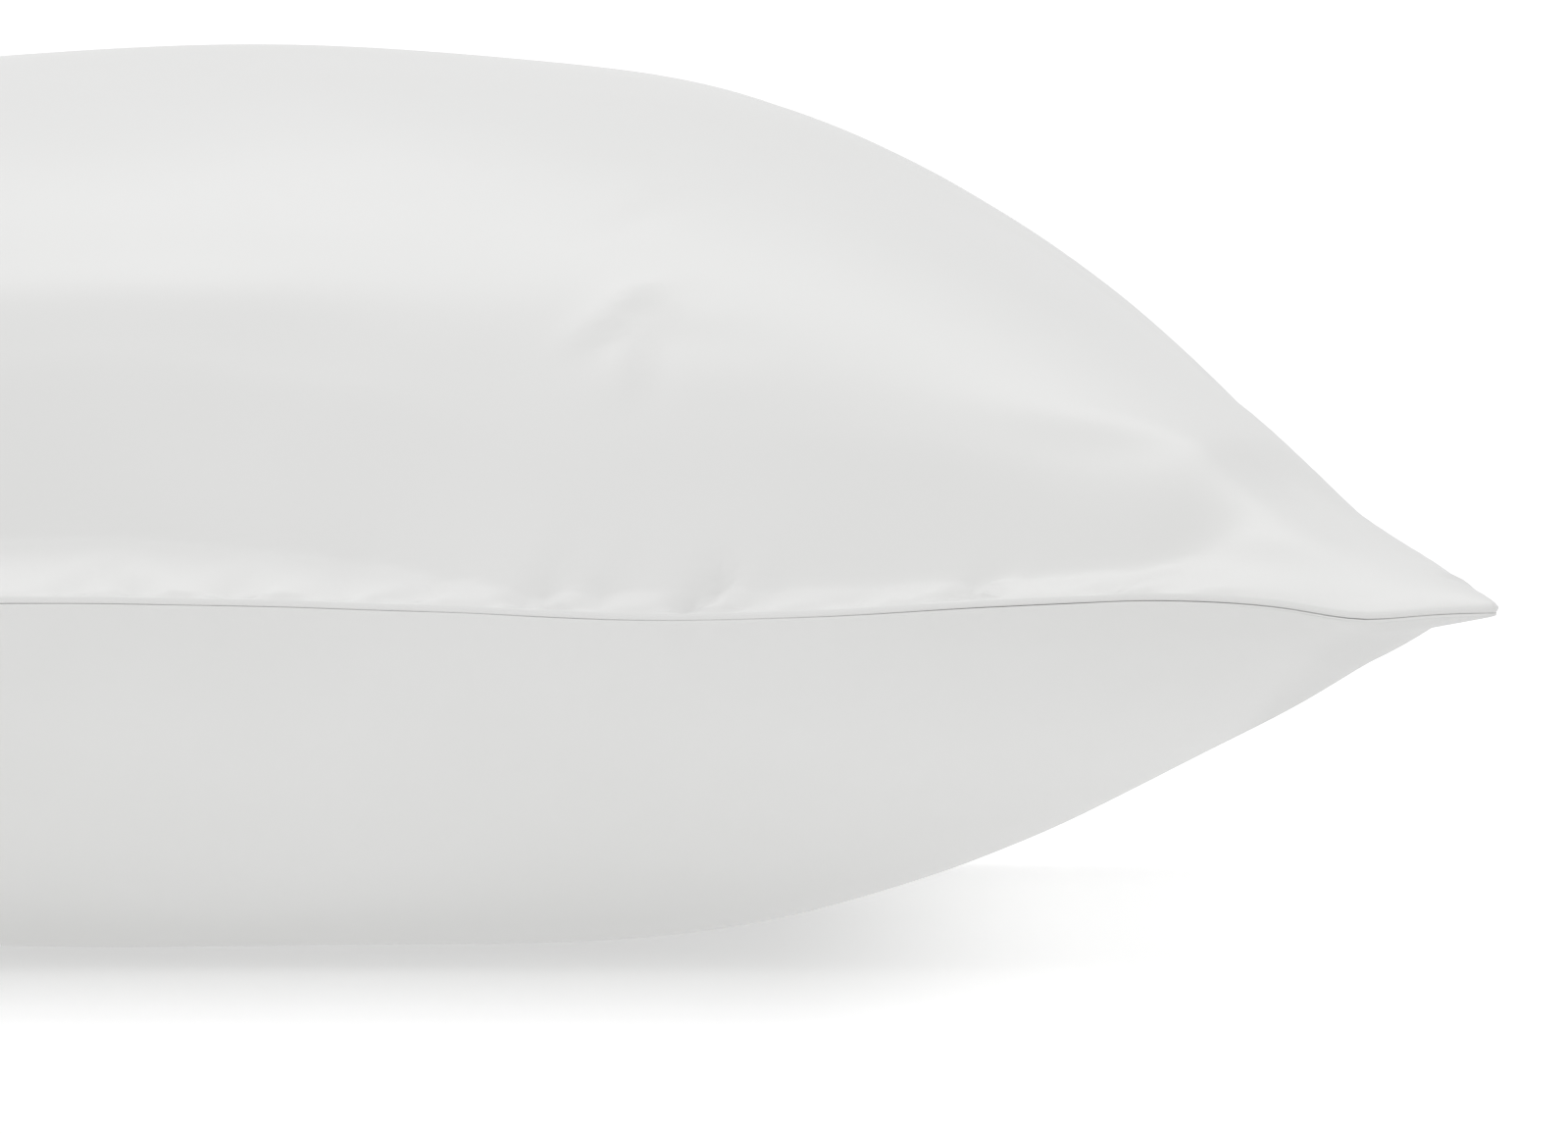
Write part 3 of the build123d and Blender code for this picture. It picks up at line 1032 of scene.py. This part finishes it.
def make_label():
    """A blank care label: a tape caught in the far seam, hanging down, folded at its lower end."""
    middle, half = (label_low.x + label_high.x) / 2, (label_high.x - label_low.x) / 2
    seam_x = np.array([middle])
    y_edge = plan(seam_x / HALF_X, np.ones(1))[1][0]
    level = SEAM_Z + seam_level(seam_x, np.array([y_edge]))[0]
    tape = folded(label_path(y_edge, level), LABEL_PLY * 0.75)
    across = np.linspace(-half, half, LABEL_COUNT)
    points = np.zeros((len(tape), LABEL_COUNT, 3))
    points[..., 0] = middle + across
    points[..., 1:] = tape[:, None]
    fall_away = np.clip((level - points[..., 2]) / LABEL_HANG, 0, 1)
    wave = np.sin(across / half * 2.1 + 0.5) + 0.4 * np.sin(across / half * 5)
    points[..., 1] += LABEL_WAVE * wave * fall_away
    at = np.arange(len(tape) * LABEL_COUNT).reshape(len(tape), LABEL_COUNT)
    faces = np.stack([at[:-1, :-1], at[:-1, 1:], at[1:, 1:], at[1:, :-1]], -1).reshape(-1, 4)
    length = run_length(tape)
    uv = np.stack(np.broadcast_arrays(across[None, :], length[:, None]), -1).reshape(-1, 2)
    label = mesh_object("label_tape", points.reshape(-1, 3), faces, uv)
    solid = label.modifiers.new("ply", "SOLIDIFY")
    solid.thickness, solid.offset = LABEL_PLY, 0
    apply_modifiers(label)
    return label


def apply_modifiers(obj):
    depsgraph = bpy.context.evaluated_depsgraph_get()
    mesh = bpy.data.meshes.new_from_object(obj.evaluated_get(depsgraph))
    obj.modifiers.clear()
    obj.data = mesh


# ==================== materials
def material(name, roughness, sheen=0.0):
    mat = bpy.data.materials.new(name)
    mat.use_nodes = True
    shader = mat.node_tree.nodes["Principled BSDF"]
    shader.inputs["Roughness"].default_value = roughness
    shader.inputs["Sheen Weight"].default_value = sheen
    return mat, mat.node_tree, shader


def noise(tree, scale, detail, source="Object"):
    place = tree.nodes.new("ShaderNodeTexCoord")
    texture = tree.nodes.new("ShaderNodeTexNoise")
    texture.inputs["Scale"].default_value = scale
    texture.inputs["Detail"].default_value = detail
    tree.links.new(place.outputs[source], texture.inputs["Vector"])
    return texture.outputs["Fac"]


def ramp(tree, value, low, high, dark, light):
    node = tree.nodes.new("ShaderNodeValToRGB")
    first, last = node.color_ramp.elements
    first.position, last.position = low, high
    first.color, last.color = (*dark, 1), (*light, 1)
    tree.links.new(value, node.inputs["Fac"])
    return node.outputs["Color"]


def bump(tree, shader, height, distance, strength):
    node = tree.nodes.new("ShaderNodeBump")
    node.inputs["Strength"].default_value = strength
    node.inputs["Distance"].default_value = distance
    tree.links.new(height, node.inputs["Height"])
    tree.links.new(node.outputs["Normal"], shader.inputs["Normal"])


def woven(tree, thread, length, offset):
    """A brick pattern as a weave: floats of thread, one brick each."""
    cloth = tree.nodes.new("ShaderNodeUVMap")
    cloth.uv_map = "cloth"
    weave = tree.nodes.new("ShaderNodeTexBrick")
    weave.offset = offset
    weave.inputs["Color1"].default_value = (0.8, 0.8, 0.8, 1)
    weave.inputs["Color2"].default_value = (1, 1, 1, 1)
    weave.inputs["Mortar"].default_value = (0.2, 0.2, 0.2, 1)
    weave.inputs["Scale"].default_value = 1 / thread
    weave.inputs["Mortar Size"].default_value = 0.06
    weave.inputs["Mortar Smooth"].default_value = 1.0
    weave.inputs["Brick Width"].default_value = length
    weave.inputs["Row Height"].default_value = 1.0
    tree.links.new(cloth.outputs["UV"], weave.inputs["Vector"])
    return weave.outputs["Color"]


def sateen():
    """White cotton sateen: long floats that shine, a very fine weave, and faint unevenness."""
    mat, tree, shader = material("white_sateen", 0.36, 0.12)
    tint = ramp(tree, noise(tree, 9, 3), 0.35, 0.68, (0.715, 0.716, 0.706), (0.735, 0.735, 0.728))
    tree.links.new(tint, shader.inputs["Base Color"])
    bump(tree, shader, woven(tree, 0.2 * MM, 5.0, 0.4), 0.03 * MM, 0.12)
    return mat


def fibre(name, scale, tone):
    """Crimped polyester fibre: a matt white mass with fine tangled strands."""
    mat, tree, shader = material(name, 0.9, 0.4)
    strands = noise(tree, scale, 9)
    dark, light = (tone - 0.1,) * 3, (tone, tone, tone * 0.99)
    tree.links.new(ramp(tree, strands, 0.4, 0.65, dark, light), shader.inputs["Base Color"])
    bump(tree, shader, strands, 1.5 * MM, 0.8)
    return mat


def spun_thread():
    """White polyester sewing thread, twisted."""
    mat, tree, shader = material("white_thread", 0.45, 0.1)
    twist = noise(tree, 2200, 2)
    tint = ramp(tree, twist, 0.3, 0.7, (0.68, 0.68, 0.67), (0.78, 0.78, 0.77))
    tree.links.new(tint, shader.inputs["Base Color"])
    bump(tree, shader, twist, 0.05 * MM, 0.5)
    return mat


def label_satin():
    """Blank white label tape, with a fine plain weave."""
    mat, tree, shader = material("label_satin", 0.42, 0.1)
    tint = ramp(tree, noise(tree, 60, 3), 0.3, 0.7, (0.74, 0.74, 0.73), (0.8, 0.8, 0.79))
    tree.links.new(tint, shader.inputs["Base Color"])
    bump(tree, shader, woven(tree, 0.25 * MM, 2.0, 0.5), 0.04 * MM, 0.3)
    return mat


# ==================== build
def dress(piece, node, mat):
    piece.data.materials.clear()
    piece.data.materials.append(mat)
    if node:
        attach(piece, "root")
        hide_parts(node)


make_camera()
make_studio()
SATEEN, THREAD = sateen(), spun_thread()

filling = make_filling()
dress(filling["fill_core"], None, fibre("loose_fibre", 90, 0.78))
for name in ("fill_batt_top", "fill_batt_bottom"):
    dress(filling[name], None, fibre("batt_" + name[-3:], 140, 0.8))

SIDES = list(zip((1, -1), simulate()))
for (side, wrinkles), name, node, batt in zip(
    SIDES, ("top_shell", "bottom_shell"), ("top_panel", "bottom_panel"), ("batt_top", "batt_bottom")
):
    panel = make_panel(name, side, wrinkles)
    dress(panel, node, SATEEN)

dress(lockstitch(), "perimeter_seam_thread", THREAD)
dress(overlock(), "overlock_thread", THREAD)
dress(closing_stitches(), "closing_seam_thread", THREAD)
dress(make_label(), "care_label", label_satin())
